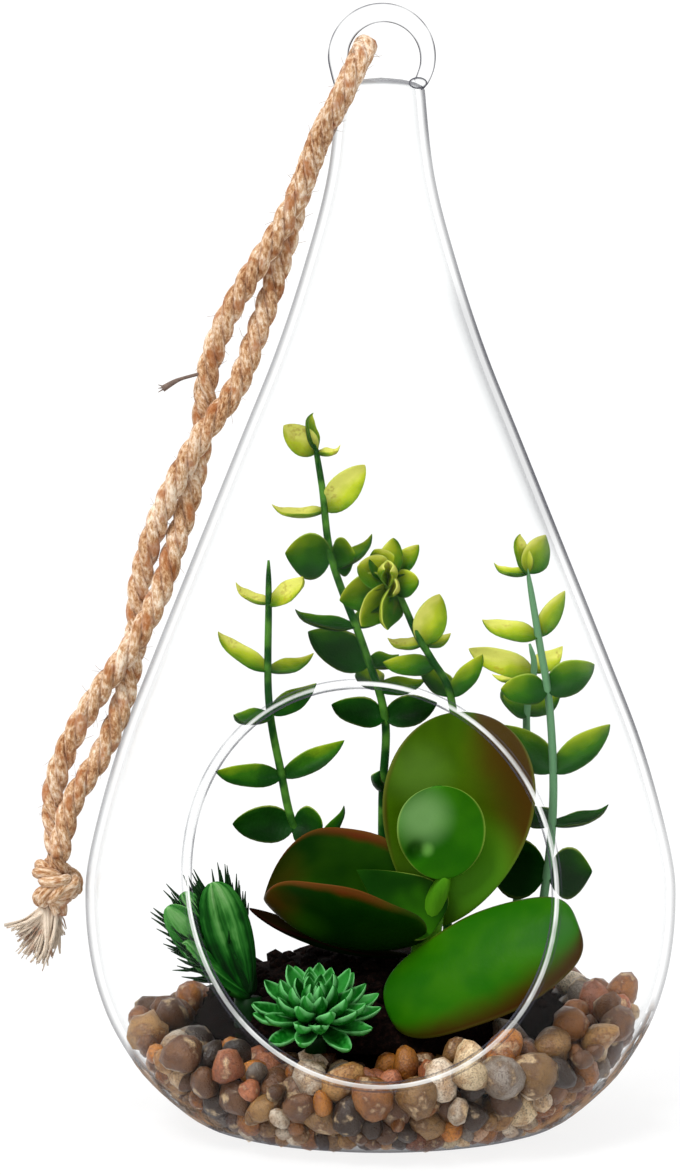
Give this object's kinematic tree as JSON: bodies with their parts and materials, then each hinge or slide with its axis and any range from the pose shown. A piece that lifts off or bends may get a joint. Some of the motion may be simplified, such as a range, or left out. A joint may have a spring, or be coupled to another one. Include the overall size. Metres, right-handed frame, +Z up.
{
  "type": "glass plant terrarium",
  "caption": "Teardrop blown-glass terrarium with an oval front window and a rod loop, holding pebbles, soil and succulents, with a jute hanging rope knotted at its end.",
  "frame": {"origin": "middle of the flat base of the glass, on the surface it stands on", "axes": "+Z up through the neck and the loop, -Y out of the front window, +X to the right as seen from the front"},
  "size_m": [0.1371, 0.1143, 0.2301],
  "materials": {
    "clear_glass": "clear blown glass with a fire-polished window rim",
    "pebbles": "rounded river pebbles in tan, brown, orange, grey and white",
    "soil": "dark crumbly planting soil with bark grains",
    "paddle_leaf_green": "waxy green leaf with a reddish margin",
    "leafy_stem_green": "leaf green below turning yellow lime at the tips",
    "aloe_green": "dark green toothed blade, paler at the tip",
    "rosette_green": "emerald green leaf with pale edges",
    "jute": "three-strand twisted jute with loose fibres"
  },
  "bodies": {
    "root": {"glass_vessel": "clear_glass", "glass_loop": "clear_glass", "pebble_bed": "pebbles", "soil_mound": "soil", "paddle_stem": "paddle_leaf_green", "paddle_leaf_back": "paddle_leaf_green", "paddle_leaf_cupped": "paddle_leaf_green", "paddle_leaf_left": "paddle_leaf_green", "paddle_leaf_front": "paddle_leaf_green", "paddle_leaf_inner": "paddle_leaf_green", "paddle_leaf_low": "paddle_leaf_green", "leafy_stem_left": "leafy_stem_green", "leafy_stem_tall": "leafy_stem_green", "leafy_stem_middle": "leafy_stem_green", "leafy_stem_right": "leafy_stem_green", "leafy_stem_back": "leafy_stem_green", "aloe": "aloe_green", "rosette": "rosette_green", "hanging_rope": "jute", "rope_knot": "jute", "rope_tails": "jute"}
  },
  "joints": []
}
